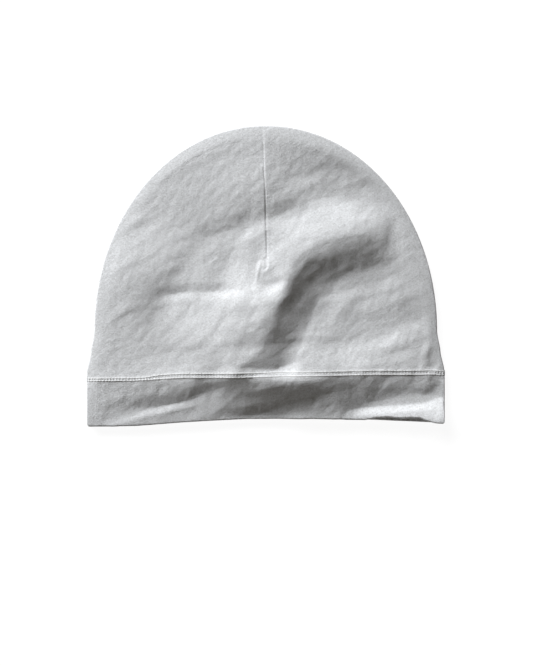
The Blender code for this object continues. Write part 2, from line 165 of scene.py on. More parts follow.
# Folds, as they show in the photograph. Each runs through its points, x as a share of HALF_WIDTH and y of
# CAP_HEIGHT. Its rise is a share of FOLD_RISE. Its widths, on the left and on the right of the way it runs,
# are shares of HALF_WIDTH. Crease is 0 for a round crest and 1 for a sharp one, and each end dies out over
# the share ends of its length.
Fold = namedtuple("Fold", "name points rise upper lower crease ends")
FOLDS = [
    # Broad swells of the slack crown
    Fold("belly", [(-0.45, 0.14), (-0.22, 0.33), (0.02, 0.47)], 1.35, 0.34, 0.3, 0.0, 0.42),
    Fold("crown of the belly", [(-0.26, 0.45), (-0.04, 0.42), (0.12, 0.35)], 0.45, 0.25, 0.16, 0.0, 0.35),
    Fold("swell at the seam", [(-0.9, 0.13), (-0.2, 0.15), (0.3, 0.165), (0.8, 0.16)],
         0.62, 0.2, 0.23, 0.0, 0.4),
    Fold("swell at the seam, right", [(-0.32, 0.125), (0.12, 0.142), (0.72, 0.14)],
         0.8, 0.24, 0.19, 0.0, 0.42),
    Fold("swell at the seam, middle", [(-0.28, 0.09), (-0.2, 0.18), (-0.14, 0.27)],
         0.12, 0.12, 0.18, 0.0, 0.35),
    Fold("swell over the seam, right", [(0.02, 0.235), (0.25, 0.225), (0.5, 0.21)],
         0.15, 0.16, 0.12, 0.0, 0.4),
    Fold("swell, lower right", [(0.42, 0.08), (0.68, 0.17), (0.96, 0.19)], 0.42, 0.22, 0.22, 0.0, 0.3),
    Fold("swell by the ridge's foot", [(0.0, 0.27), (0.2, 0.27), (0.42, 0.25)], 0.5, 0.24, 0.13, 0.0, 0.5),
    Fold("swell on the left", [(-0.92, 0.42), (-0.64, 0.53), (-0.32, 0.6)], 0.45, 0.26, 0.3, 0.0, 0.4),
    Fold("swell, middle left", [(-0.58, 0.36), (-0.4, 0.46), (-0.26, 0.6)], 0.24, 0.12, 0.12, 0.0, 0.35),
    Fold("swell, upper middle", [(-0.34, 0.72), (-0.04, 0.79), (0.24, 0.8)], 0.18, 0.2, 0.2, 0.0, 0.4),
    # The ridge, from the seam up and over to the right, and the fall of its flank
    Fold("ridge, lower half", [(-0.16, 0.09), (-0.03, 0.25), (0.06, 0.39), (0.13, 0.56)],
         1.12, 0.28, 0.21, 0.1, 0.32),
    Fold("ridge, upper half", [(-0.06, 0.42), (0.17, 0.565), (0.42, 0.625), (0.72, 0.65)],
         1.0, 0.2, 0.22, 0.1, 0.26),
    Fold("lip of the ridge", [(0.0, 0.38), (0.11, 0.435), (0.18, 0.52), (0.4, 0.57)],
         0.09, 0.08, 0.05, 0.0, 0.3),
    Fold("ridge's saddle", [(-0.04, 0.53), (0.04, 0.46), (0.1, 0.41)], -0.38, 0.11, 0.09, 0.0, 0.45),
    Fold("ridge's brow", [(0.12, 0.46), (0.26, 0.53), (0.46, 0.585)], 0.07, 0.07, 0.08, 0.0, 0.35),
    Fold("hollow behind the ridge", [(-0.07, 0.455), (0.03, 0.475), (0.08, 0.53), (0.14, 0.6)],
         -0.13, 0.07, 0.07, 0.0, 0.4),
    Fold("foot of the ridge", [(0.2, 0.3), (0.28, 0.4), (0.45, 0.48), (0.8, 0.54)],
         -0.14, 0.08, 0.12, 0.0, 0.3),
    Fold("end of the ridge", [(0.5, 0.655), (0.61, 0.665), (0.7, 0.68)], 0.05, 0.08, 0.06, 0.2, 0.3),
    Fold("foot of the end", [(0.7, 0.67), (0.715, 0.6), (0.69, 0.52)], -0.07, 0.06, 0.06, 0.0, 0.4),
    Fold("lift under the hook", [(0.48, 0.485), (0.62, 0.515), (0.78, 0.55)], 0.05, 0.08, 0.06, 0.0, 0.35),
    Fold("flank, lower end", [(-0.04, 0.16), (0.04, 0.3), (0.12, 0.42)], 0.3, 0.15, 0.16, 0.0, 0.4),
    Fold("fall beside the flank", [(0.26, 0.33), (0.36, 0.42), (0.46, 0.52)], -0.1, 0.1, 0.12, 0.0, 0.35),
    Fold("dip by the flank's foot", [(0.06, 0.325), (0.24, 0.345), (0.44, 0.34)],
         -0.1, 0.1, 0.08, 0.0, 0.35),
    Fold("crest by the flank's foot", [(0.14, 0.27), (0.28, 0.283), (0.42, 0.28)],
         0.05, 0.06, 0.06, 0.0, 0.35),
    # The plateau behind the ridge, and what lies above it
    Fold("plateau's left edge", [(-0.27, 0.465), (-0.13, 0.535), (-0.06, 0.61), (0.06, 0.65), (0.22, 0.67)],
         0.22, 0.09, 0.1, 0.0, 0.3),
    Fold("plateau's end", [(0.6, 0.59), (0.66, 0.66), (0.69, 0.74)], 0.09, 0.1, 0.05, 0.0, 0.35),
    Fold("plateau, hump", [(0.2, 0.69), (0.42, 0.73)], 0.035, 0.08, 0.08, 0.0, 0.4),
    Fold("plateau, dip", [(0.44, 0.8), (0.52, 0.75), (0.6, 0.69)], -0.08, 0.09, 0.07, 0.0, 0.4),
    Fold("upper crease, left", [(-0.42, 0.6), (-0.3, 0.632), (-0.15, 0.662), (-0.02, 0.705)],
         -0.14, 0.08, 0.1, 0.3, 0.3),
    Fold("upper crease, right", [(-0.08, 0.69), (0.08, 0.703), (0.2, 0.735), (0.32, 0.757), (0.52, 0.765)],
         -0.2, 0.1, 0.09, 0.5, 0.3),
    Fold("hollow, upper right", [(0.1, 0.86), (0.5, 0.8), (0.86, 0.62)], -0.35, 0.16, 0.22, 0.0, 0.4),
    Fold("hollow, top right", [(0.0, 0.9), (0.2, 0.85), (0.42, 0.79), (0.62, 0.69)],
         -0.22, 0.17, 0.17, 0.0, 0.3),
    Fold("pleat at the upper right", [(0.38, 0.795), (0.5, 0.815), (0.64, 0.85)],
         0.06, 0.08, 0.035, 0.4, 0.3),
    # Round the dart, whose foot is drawn into a small cup with a tail
    Fold("dip beside the dart", [(0.0, 0.75), (0.07, 0.805), (0.2, 0.83), (0.34, 0.83)],
         -0.04, 0.06, 0.09, 0.0, 0.4),
    Fold("dip at the dart's right", [(-0.08, 0.745), (0.06, 0.768), (0.24, 0.8)],
         -0.05, 0.07, 0.06, 0.0, 0.35),
    Fold("dart's foot, cup", [(0.007, 0.565), (0.0065, 0.54), (0.0, 0.522), (-0.02, 0.5155)],
         -0.075, 0.012, 0.022, 0.3, 0.2),
    Fold("dart's tail", [(-0.018, 0.553), (-0.033, 0.5315), (-0.043, 0.5065), (-0.052, 0.47)],
         0.06, 0.014, 0.016, 0.3, 0.25),
    Fold("dip by the tail", [(-0.035, 0.56), (-0.055, 0.525)], -0.02, 0.02, 0.02, 0.0, 0.4),
    Fold("patch under the cup", [(-0.05, 0.458), (0.04, 0.468), (0.12, 0.49)], -0.15, 0.04, 0.05, 0.2, 0.4),
    Fold("hump under the tail", [(-0.24, 0.41), (-0.06, 0.43)], 0.04, 0.05, 0.05, 0.0, 0.4),
    Fold("dip under the dart", [(-0.66, 0.405), (-0.45, 0.443), (-0.22, 0.45), (-0.06, 0.47)],
         -0.17, 0.06, 0.05, 0.7, 0.3),
    Fold("dip under the dart, left end", [(-0.64, 0.43), (-0.47, 0.455)], -0.05, 0.06, 0.05, 0.2, 0.4),
    # The left side
    Fold("streak, upper left", [(-0.8, 0.565), (-0.66, 0.6), (-0.52, 0.652), (-0.38, 0.69)],
         -0.03, 0.05, 0.06, 0.5, 0.3),
    Fold("streak, left", [(-0.8, 0.46), (-0.68, 0.535), (-0.55, 0.595), (-0.42, 0.64)],
         -0.05, 0.07, 0.07, 0.1, 0.4),
    Fold("dip, upper left", [(-0.66, 0.755), (-0.48, 0.81), (-0.28, 0.855)], -0.03, 0.06, 0.08, 0.2, 0.4),
    Fold("crease, far left, upper", [(-0.92, 0.625), (-0.76, 0.668), (-0.58, 0.7)],
         0.07, 0.07, 0.05, 0.3, 0.4),
    Fold("crease, far left, lower", [(-0.9, 0.33), (-0.78, 0.385), (-0.66, 0.425)],
         0.045, 0.06, 0.035, 0.3, 0.4),
    Fold("hump, left", [(-0.62, 0.32), (-0.51, 0.37), (-0.42, 0.4)], 0.1, 0.07, 0.07, 0.0, 0.4),
    Fold("trough, left", [(-0.48, 0.27), (-0.35, 0.335), (-0.26, 0.395), (-0.2, 0.42)],
         -0.05, 0.07, 0.06, 0.0, 0.4),
    Fold("hump, middle", [(-0.37, 0.225), (-0.26, 0.27), (-0.18, 0.32)], 0.08, 0.07, 0.08, 0.0, 0.4),
    Fold("dip on the crest", [(-0.2, 0.36), (-0.1, 0.375), (-0.02, 0.38)], -0.07, 0.05, 0.05, 0.0, 0.4),
    Fold("swell by the left edge", [(-0.86, 0.22), (-0.86, 0.44)], 0.035, 0.05, 0.05, 0.0, 0.4),
    Fold("dip at the left seam", [(-0.4, 0.08), (-0.29, 0.16), (-0.2, 0.24)], -0.18, 0.1, 0.1, 0.0, 0.4),
    # The right side
    Fold("dip on the right", [(0.36, 0.3), (0.5, 0.305), (0.7, 0.33), (0.98, 0.362)],
         -0.13, 0.16, 0.1, 0.4, 0.3),
    Fold("shallow dip on the right", [(0.26, 0.355), (0.6, 0.355), (0.98, 0.375)],
         -0.07, 0.1, 0.09, 0.0, 0.3),
    Fold("hollow on the right", [(0.42, 0.38), (0.58, 0.44), (0.76, 0.42)], -0.2, 0.14, 0.14, 0.0, 0.4),
    Fold("hump on the right", [(0.26, 0.41), (0.4, 0.42)], 0.04, 0.05, 0.05, 0.0, 0.4),
    Fold("pucker, right", [(0.6, 0.215), (0.72, 0.27), (0.84, 0.315)], 0.065, 0.06, 0.05, 0.2, 0.4),
    Fold("pucker, far right", [(0.855, 0.185), (0.905, 0.255), (0.93, 0.36)], 0.09, 0.045, 0.035, 0.2, 0.4),
    Fold("dip, far right", [(0.9, 0.175), (0.955, 0.215), (0.985, 0.26)], -0.14, 0.05, 0.03, 0.3, 0.4),
    Fold("dip under the pucker", [(0.4, 0.155), (0.66, 0.172), (0.9, 0.165)], -0.1, 0.08, 0.07, 0.0, 0.35),
    Fold("crest over the pucker", [(0.42, 0.245), (0.62, 0.262), (0.86, 0.3)], 0.06, 0.07, 0.06, 0.0, 0.35),
    # At the band seam, where the ridge's foot is nipped in
    Fold("nick at the seam", [(-0.18, 0.165), (-0.02, 0.177), (0.08, 0.197), (0.2, 0.222)],
         -0.55, 0.13, 0.1, 0.4, 0.35),
    Fold("streak over the seam", [(-0.3, 0.19), (-0.17, 0.22), (-0.03, 0.248)],
         -0.06, 0.09, 0.035, 0.3, 0.4),
    Fold("crest under the seam", [(-0.16, 0.158), (-0.05, 0.159), (0.05, 0.161)],
         0.07, 0.05, 0.05, 0.0, 0.35),
    # The band, and the mouth that stands open at the right of the hem
    Fold("band, upper edge", [(-0.3, 0.164), (-0.06, 0.164), (0.16, 0.153), (0.44, 0.158)],
         0.3, 0.06, 0.12, 0.1, 0.35),
    Fold("band, dip on the left", [(-0.98, -0.005), (-0.8, 0.038), (-0.6, 0.066), (-0.3, 0.112)],
         -0.28, 0.1, 0.045, 0.7, 0.3),
    Fold("band, fall on the left", [(-0.52, 0.05), (-0.3, 0.095), (-0.12, 0.125)],
         -0.12, 0.1, 0.08, 0.0, 0.4),
    Fold("band, second dip", [(-0.5, 0.095), (-0.35, 0.111), (-0.24, 0.13), (-0.04, 0.145)],
         -0.13, 0.06, 0.09, 0.5, 0.35),
    Fold("band, trough", [(-0.56, 0.04), (-0.38, 0.062), (-0.2, 0.1)], -0.07, 0.06, 0.06, 0.0, 0.4),
    Fold("band, round dip", [(-0.62, 0.115), (-0.54, 0.135)], -0.035, 0.04, 0.03, 0.2, 0.4),
    Fold("band, middle crest", [(-0.26, 0.042), (-0.04, 0.071), (0.18, 0.095)], 0.2, 0.07, 0.11, 0.2, 0.35),
    Fold("band, middle dip", [(-0.4, -0.03), (-0.1, 0.028), (0.06, 0.064), (0.25, 0.098), (0.62, 0.148)],
         -0.3, 0.15, 0.12, 0.6, 0.3),
    Fold("hem, middle", [(0.02, -0.03), (0.28, -0.01), (0.56, 0.01)], 0.4, 0.3, 0.15, 0.0, 0.35),
    Fold("band, dip at the right", [(0.38, 0.118), (0.54, 0.128), (0.72, 0.134)],
         -0.12, 0.07, 0.12, 0.1, 0.35),
    Fold("band, lift before the mouth", [(0.4, 0.015), (0.48, 0.05), (0.56, 0.08)],
         0.08, 0.08, 0.08, 0.0, 0.35),
    Fold("mouth, lifted hem", [(0.44, -0.03), (0.75, 0.002), (1.25, 0.01)], 0.85, 0.16, 0.15, 0.0, 0.3),
    Fold("mouth, dip over it", [(0.4, 0.05), (0.58, 0.066), (0.78, 0.078), (0.98, 0.086)],
         -0.44, 0.2, 0.05, 0.6, 0.25),
    Fold("band, dip at the right end", [(0.86, 0.09), (0.94, 0.107), (1.05, 0.125)],
         -0.2, 0.07, 0.05, 0.3, 0.35),
    Fold("band, swell at the right end", [(0.87, 0.09), (0.905, 0.145), (0.93, 0.2)],
         0.17, 0.09, 0.11, 0.0, 0.35),
    Fold("band, side bulge", [(0.975, -0.04), (0.978, 0.03), (0.992, 0.085), (1.0, 0.13)],
         0.1, 0.05, 0.06, 0.0, 0.3),
]

# Dart: where its sewn line lies across the cap at heights up it, both as shares, and its relief
DART_UP = (0.00, 0.50, 0.54, 0.60, 0.70, 0.80, 1.00)
DART_ACROSS = (0.000, 0.000, 0.005, 0.005, 0.000, -0.005, -0.015)
DART_FOOT = 0.545  # how far up the cap it ends, as a share
DART_GROOVE = 0.00022  # depth of the sewn line
GROOVE_WIDTH = 0.0007  # half of it
DART_STEP = 0.00030  # one side lies this much over the other
STEP_EDGE = 0.00018  # width of the step's edge
STEP_REACH = 0.005  # how far from the line the raised side comes down again
DART_TURN = 0.80  # how far up the cap the raised side changes, as a share
DART_FADE = 0.003  # the relief dies out over this width along the outline

ROW_GAP = 0.0024  # between the two rows of stitches at the band seam
ROW_CLOSE = 0.62  # the share of it that is left at the left end
SEAM_PAD = 0.00042  # how much the turned edges of the band seam raise the cloth
PAD_BELOW = 0.0045  # how far they reach down from the seam
PAD_ABOVE = 0.0050  # and up
ROW_PAD = 0.00016  # how much each row of stitches raises the cloth
ROW_REACH = 0.0009
ROW_VALLEY = 0.00010  # how far the cloth is drawn in between the rows
ALLOWANCE = 0.00024  # thickness of the outline seam's turned edges, as they show through
ALLOWANCE_WIDTH = 0.0080


def ramp(t):
    """0 up to 0, 1 from 1, and a smooth step between."""
    t = np.clip(t, 0.0, 1.0)
    return t * t * (3.0 - 2.0 * t)


def hem_line(x):
    """Height of the hem up the cap: a bow through the stations, and a quarter circle at each corner."""
    bow = HEM_RISE * np.interp(x / HALF_WIDTH, [s.x for s in STATIONS], [s.hem for s in STATIONS])
    corner = np.clip((np.abs(x) - HALF_WIDTH) / HEM_CORNER + 1.0, 0.0, 1.0)
    return bow + HEM_CORNER * (1.0 - np.sqrt(1.0 - corner**2))


def seam_line(x):
    """Height of the band seam up the cap, through the stations."""
    climb = np.interp(x / HALF_WIDTH, [s.x for s in STATIONS], [s.seam for s in STATIONS])
    return BAND_HEIGHT + SEAM_RISE * climb


def half_width(y):
    """Half the cap's width at height y: a dome of power DOME_POWER, then sides that spread, then a smooth
    flare out to the band."""
    up = np.clip((y - DOME_SPRING) / DOME_HEIGHT, 0.0, 1.0)
    dome = HALF_DOME * (1.0 - up**DOME_POWER) ** (1.0 / DOME_POWER)
    flare_top = BAND_HEIGHT + SEAM_RISE + FLARE_HEIGHT
    spread = 0.5 * SIDE_SPREAD * np.clip((DOME_SPRING - y) / (DOME_SPRING - flare_top), 0.0, 1.0) ** 1.2
    side = HALF_DOME + spread
    side = side + (HALF_WIDTH - side) * ramp((flare_top - y) / FLARE_HEIGHT)
    return np.where(y > DOME_SPRING, dome, side)


def inset(x, y):
    """How far (x, y) lies in from the outline. On the dome it is what the half width of the like dome through
    the point lacks of the full one, and below it the way straight across."""
    up = np.clip((y - DOME_SPRING) / DOME_HEIGHT, 0.0, None)
    share = ((np.abs(x) / HALF_DOME) ** DOME_POWER + up**DOME_POWER) ** (1.0 / DOME_POWER)
    return np.where(y > DOME_SPRING, (1.0 - share) * HALF_DOME, half_width(y) - np.abs(x))


def fold_height(fold, x, y):
    """One fold. Its crest is the polynomial through its points, measured along and across the chord between
    its ends. It falls off with the distance across, over the width of that side, round or as a crease."""
    points = np.array(fold.points) * [HALF_WIDTH, CAP_HEIGHT]
    chord = points[-1] - points[0]
    length = np.hypot(*chord)
    along = chord / length
    across = np.array([-along[1], along[0]])
    stations, offsets = (points - points[0]) @ along / length, (points - points[0]) @ across
    curve = np.polyfit(stations, offsets, len(points) - 1)
    u = ((x - points[0, 0]) * along[0] + (y - points[0, 1]) * along[1]) / length
    v = (x - points[0, 0]) * across[0] + (y - points[0, 1]) * across[1]
    held = np.clip(u, -0.05, 1.05)
    slope = np.polyval(np.polyder(curve), held) / length
    off = (v - np.polyval(curve, held)) / np.sqrt(1.0 + slope**2)
    q = np.clip(np.abs(off) / (HALF_WIDTH * np.where(off > 0.0, fold.upper, fold.lower)), 0.0, 1.0)
    bump = (1.0 - fold.crease) * (1.0 - q * q) ** 2 + fold.crease * (1.0 - q) ** 2 * (1.0 + 0.5 * q)
    return FOLD_RISE * fold.rise * ramp(u / fold.ends) * ramp((1.0 - u) / fold.ends) * bump


def dart_line(y):
    """Where the dart's sewn line lies across the cap at height y, between its listed places."""
    return HALF_WIDTH * np.interp(y / CAP_HEIGHT, DART_UP, DART_ACROSS)


def dart_relief(x, y):
    """A fine groove along the dart. The cloth on one side of it lies over the other by a step that falls off
    away from the line, and the side changes smoothly at DART_TURN."""
    off = x - dart_line(y)
    up = y / CAP_HEIGHT
    sewn = ramp((up - DART_FOOT) / 0.02)
    groove = -DART_GROOVE * np.exp(-((off / GROOVE_WIDTH) ** 2))
    left_over = 1.0 - 2.0 * ramp((up - DART_TURN + 0.03) / 0.06)
    side = 1.0 / (1.0 + np.exp(np.clip(off * left_over / STEP_EDGE, -30.0, 30.0)))
    step = DART_STEP * np.abs(left_over) * side * np.exp(-np.abs(off) / STEP_REACH)
    return sewn * (groove + step)


def row_gap(x):
    """How far the upper row of stitches runs over the lower one: they draw together at the left end."""
    return ROW_GAP * (ROW_CLOSE + (1.0 - ROW_CLOSE) * ramp((x / HALF_WIDTH + 0.68) / 0.10))


def seam_relief(x, y):
    """The band seam's turned edges pad the cloth on both sides of it. It stands up a little more at both rows
    of stitches and is drawn in between them. Each of these is a bell curve up the cap."""
    up = y - seam_line(x)
    gap = row_gap(x)
    pad = SEAM_PAD * np.exp(-(np.where(up < 0.0, up / PAD_BELOW, up / PAD_ABOVE) ** 2))
    rows = ROW_PAD * (np.exp(-((up / ROW_REACH) ** 2)) + np.exp(-(((up - gap) / ROW_REACH) ** 2)))
    return pad + rows - ROW_VALLEY * np.exp(-(((up - 0.5 * gap) / (0.30 * gap)) ** 2))


def allowance(x, y):
    """The turned edges of the outline seam show through as a low step at the upper left, where the cloth lies
    close over them. It comes in smoothly along the outline and goes again."""
    across = x / HALF_WIDTH
    shown = ramp((across + 0.624) / 0.12) * ramp((-0.072 - across) / 0.12) * ramp((y - DOME_SPRING) / 0.03)
    return ALLOWANCE * shown * ramp((ALLOWANCE_WIDTH - inset(x, y)) / 0.0022)


def ruffle(x, y, seed, count, shortest, longest, slant, spread):
    """Small random waves: count cosines of wavelengths from shortest to longest, whose crests run within
    about spread degrees of the angle slant, added up to a unit spread of height."""
    draw = np.random.default_rng(seed)
    wavelength = np.exp(draw.uniform(np.log(shortest), np.log(longest), count))
    angle = np.radians(slant + 90.0 + spread * draw.standard_normal(count))
    phase = draw.uniform(0.0, 2.0 * np.pi, count)
    share = wavelength / np.sqrt((wavelength**2).sum() / 2.0)
    total = np.zeros_like(x)
    for size, turn, start, rise in zip(wavelength, angle, phase, share):
        total += rise * np.cos(2.0 * np.pi * (x * np.cos(turn) + y * np.sin(turn)) / size + start)
    return total


def front_height(x, y):
    """Height of the front's outer face, without the curl at its rim.

    It climbs from the edge by a quick rise and a slow one, less where the cloth is pulled tight, on the right
    and more so higher up, and comes down from the band seam to the hem. The folds are added to that. They die
    out along the outline, except beside the open mouth, where they nearly reach it. Last, the front rests on
    what lies under it.
    """
    inward = inset(x, y)
    near = 1.0 - (1.0 - np.clip(inward / RISE_REACH, 0.0, 1.0)) ** 2
    far = 1.0 - (1.0 - np.clip(inward / LOFT_REACH, 0.0, 1.0)) ** 2
    across, up = x / HALF_WIDTH, y / CAP_HEIGHT
    taut = TAUT + TAUT_ABOVE * ramp((up - 0.42) / 0.18)
    slack = 1.0 - taut * ramp(across - 0.9 * (up - 0.45))
    crown = EDGE_UP + slack * (RISE * near + LOFT * far)
    down = np.clip((seam_line(x) - y) / BAND_HEIGHT, 0.0, 1.0)
    loft = crown + (HEM_UP - crown) * 0.5 * (down + ramp(down))

    folds = sum(fold_height(fold, x, y) for fold in FOLDS)
    wave = ruffle(x, y, seed=3, count=110, shortest=0.004, longest=0.013, slant=40.0, spread=38.0)
    folds = folds + RIPPLE * wave
    folds = folds + seam_relief(x, y) + allowance(x, y)
    mouth_side = ramp((across - 0.60) / 0.30) * ramp((0.125 - up) / 0.04)
    height = loft + ramp(inward / (FOLD_FADE * (1.0 - (1.0 - MOUTH_FADE) * mouth_side))) * folds
    height = height + ramp(inward / DART_FADE) * dart_relief(x, y)

    under = PRESSED + (BAND_LAYERS - 2) * CLOTH * ramp((seam_line(x) - y) / 0.004)
    over = height - under
    return under + 0.5 * (over + np.sqrt(over**2 + REST_ROUND**2))


CROWD_FROM = 0.86  # how far in the rows beside the dart begin to lie closer, as a share
CROWD_OVER = 0.08  # and over how much of the way they come together
SPINE = 0.84  # how much of the dome's height the panel's middle line climbs


def panel_plan(side, dome, rows, rim, crowded):
    """The grid of a crown panel: x and y seen from above, as arrays of columns by rows, each row's turn round
    the rim, and each point's place on the flat cloth.

    A column runs from the outline in to the panel's middle line, which follows the dart. The side columns on
    each side lie level over the band seam, and the dome columns on each side fan round to the top. The first
    rim rows curl round the outline, from the lip that is tucked into the seam, and the last of the other rows
    lie closer beside the dart, by the share crowded. On the flat cloth the curl is unrolled, outwards.
    """
    turns = np.concatenate([np.linspace(0.0, np.pi / 2, rim + 1), np.full(rows, np.pi / 2)])
    steps = 1.0 - crowded * ramp((np.arange(rows) / rows - CROWD_FROM) / CROWD_OVER)
    shares = np.concatenate([np.zeros(rim + 1), np.cumsum(steps) / steps.sum()])
    edge = CURL * (1.0 - np.cos(turns)) + LIP * np.clip(1.0 - turns / LIP_TURN, 0.0, 1.0) ** 2
    left, right = [], []
    for way, columns in ((-1.0, left), (1.0, right)):
        corner = seam_line(way * HALF_WIDTH)
        for k in np.arange(side) / side:
            width = half_width(corner + k * (DOME_SPRING - corner))
            x = way * (width - edge) * (1.0 - shares)
            foot = seam_line(x)
            columns.append((x, foot + k * (DOME_SPRING - foot)))
    outward = [(-1.0, 0.0)] * side
    for k in np.arange(2 * dome + 1) / dome - 1.0:
        angle = np.pi / 2 * (1.0 - abs(k))
        x0, y0 = np.cos(angle) ** (2 / DOME_POWER), np.sin(angle) ** (2 / DOME_POWER)
        steep = DOME_POWER - 1
        out = np.array([np.sign(k) * x0**steep / HALF_DOME, y0**steep / DOME_HEIGHT])
        out /= np.hypot(*out)
        x = np.sign(k) * x0 * HALF_DOME - out[0] * edge
        y = DOME_SPRING + y0 * DOME_HEIGHT - out[1] * edge
        middle = DOME_SPRING + SPINE * DOME_HEIGHT * (1.0 - abs(k))
        left.append((x * (1.0 - shares) + dart_line(middle) * shares, y + (middle - y) * shares))
        outward.append(tuple(out))
    x, y = np.moveaxis(np.array(left + right[::-1]), 1, 0)
    outward = np.array(outward + [(1.0, 0.0)] * side)
    beyond = (EDGE_UP - SEAM_UP) * (np.pi / 2 - turns) - (CURL - edge)
    return x, y, turns, np.stack([x + outward[:, :1] * beyond, y + outward[:, 1:] * beyond], axis=-1)


def out_of(surface):
    """Unit normals of a panel's grid: along its rows crossed with along its columns. On the middle line,
    where the columns of both sides meet, they are those of the row before it."""
    normal = np.cross(np.gradient(surface, axis=1), np.gradient(surface, axis=0))
    normal[:, -1] = normal[:, -2]
    return normal / np.linalg.norm(normal, axis=-1, keepdims=True)


def panel_shell(outer, inner, kept):
    """Points, quads and triangles of a closed shell: the outer grid, the inner one, which has only the rows
    numbered in kept, a wall round the lip, and along each half of the foot a wall that zips every outer row
    to the nearest inner one.

    The last row is the middle line, which the columns left and right of it share.
    """
    half = outer.shape[0] // 2
    grids, first = [], 0
    for surface in (outer, inner):
        n = first + np.arange(surface.shape[0] * surface.shape[1]).reshape(surface.shape[:2])
        n[half + 1 :, -1] = n[half - 1 :: -1, -1]
        grids.append(n)
        first += n.size
    top, under = grids
    quads = [np.stack([n[:-1, :-1], n[:-1, 1:], n[1:, 1:], n[1:, :-1]], axis=-1) for n in grids]
    quads = [quads[0].reshape(-1, 4), quads[1].reshape(-1, 4)[:, ::-1]]
    quads.append(np.stack([top[:-1, 0], top[1:, 0], under[1:, 0], under[:-1, 0]], axis=-1))
    nearest = np.searchsorted(kept, np.arange(top.shape[1] - 1), side="right") - 1
    threes = []
    for column, turned in ((0, 1), (-1, -1)):
        fine, coarse = top[column], under[column]
        a = np.stack([fine[1:], fine[:-1], coarse[nearest]], axis=-1)
        b = np.stack([coarse[:-1], coarse[1:], fine[kept[1:]]], axis=-1)
        threes.append(np.concatenate([a, b])[:, ::turned])
    points = np.concatenate([outer.reshape(-1, 3), inner.reshape(-1, 3)])
    return points, np.concatenate(quads), np.concatenate(threes)


def cloth_piece(name, points, quads, threes, flat, material):
    """A mesh piece from points, quads and triangles, and each point's place on the flat cloth, in metres,
    which the UV map holds. Points that no face uses are dropped."""
    used = np.unique(np.concatenate([quads.ravel(), threes.ravel()]))
    quads, threes = np.searchsorted(used, quads), np.searchsorted(used, threes)
    points, flat = points[used] - [0.0, CAP_HEIGHT / 2, 0.0], flat[used]
    mesh = bpy.data.meshes.new(name)
    mesh.from_pydata(points.tolist(), [], quads.tolist() + threes.tolist())
    corners = np.concatenate([quads.ravel(), threes.ravel()])
    mesh.uv_layers.new(name="cloth").data.foreach_set("uv", flat[corners].astype(np.float32).ravel())
    mesh.shade_smooth()
    mesh.set_sharp_from_angle(angle=np.radians(55.0))
    mesh.materials.append(material)
    piece = bpy.data.objects.new(name, mesh)
    scene.collection.objects.link(piece)
    return piece


def crown_panel(name, height, facing, step, material, rim, **columns):
    """A crown panel. Its outer face lies at height(x, y) and comes to the outline seam as the sine of the
    turn. Its inner face lies one cloth further in, below it for facing 1 and above it for facing -1, and has
    every second row of the rim, then rows a step apart, and the last."""
    x, y, turns, flat = panel_plan(rim=rim, **columns)
    z = SEAM_UP + (height(x, y) - SEAM_UP) * np.sin(turns)
    outer = np.stack([x, y, z], axis=-1)
    kept = np.unique(np.r_[0 : rim + 1 : 2, rim : z.shape[1] : step, z.shape[1] - 1])
    inner = (outer - facing * CLOTH * out_of(outer))[:, kept]
    flats = np.concatenate([flat.reshape(-1, 2), flat[:, kept].reshape(-1, 2)])
    points, quads, threes = panel_shell(outer, inner, kept)
    return cloth_piece(name, points, quads[:, ::facing], threes[:, ::facing], flats, material)


class Wire:
    """An output of a material's nodes. Arithmetic on it adds Math nodes, and node() adds any other node."""

    def __init__(self, tree, socket=None):
        self.tree, self.socket = tree, socket

    def node(self, kind, settings, values, output=0):
        """An output of a new node of this kind, with its settings, and its inputs linked or filled in."""
        made = self.tree.nodes.new(kind)
        for setting, value in settings.items():
            setattr(made, setting, value)
        for socket, value in values.items():
            if isinstance(value, Wire):
                self.tree.links.new(value.socket, made.inputs[socket])
            else:
                made.inputs[socket].default_value = value
        return Wire(self.tree, made.outputs[output])

    def also(self, output):
        """Another output of the same node."""
        return Wire(self.tree, self.socket.node.outputs[output])

    def math(self, operation, *values):
        return self.node("ShaderNodeMath", {"operation": operation}, dict(enumerate(values)))

    def __add__(self, other):
        return self.math("ADD", self, other)

    def __sub__(self, other):
        return self.math("SUBTRACT", self, other)

    def __rsub__(self, other):
        return self.math("SUBTRACT", other, self)

    def __mul__(self, other):
        return self.math("MULTIPLY", self, other)

    __radd__, __rmul__ = __add__, __mul__


WALE = 0.00078  # width of one column of loops
COURSE = 0.00056  # height of one row of loops
# Painted light and shade of the knit: the first colour stands for the lit crests of the loops, the second for
# the shade down between them.
JERSEY_PAINTED_LIT = (0.86, 0.868, 0.88, 1.0)  # on the crests of the loops
JERSEY_PAINTED_SHADE = (0.58, 0.580, 0.575, 1.0)  # down between them


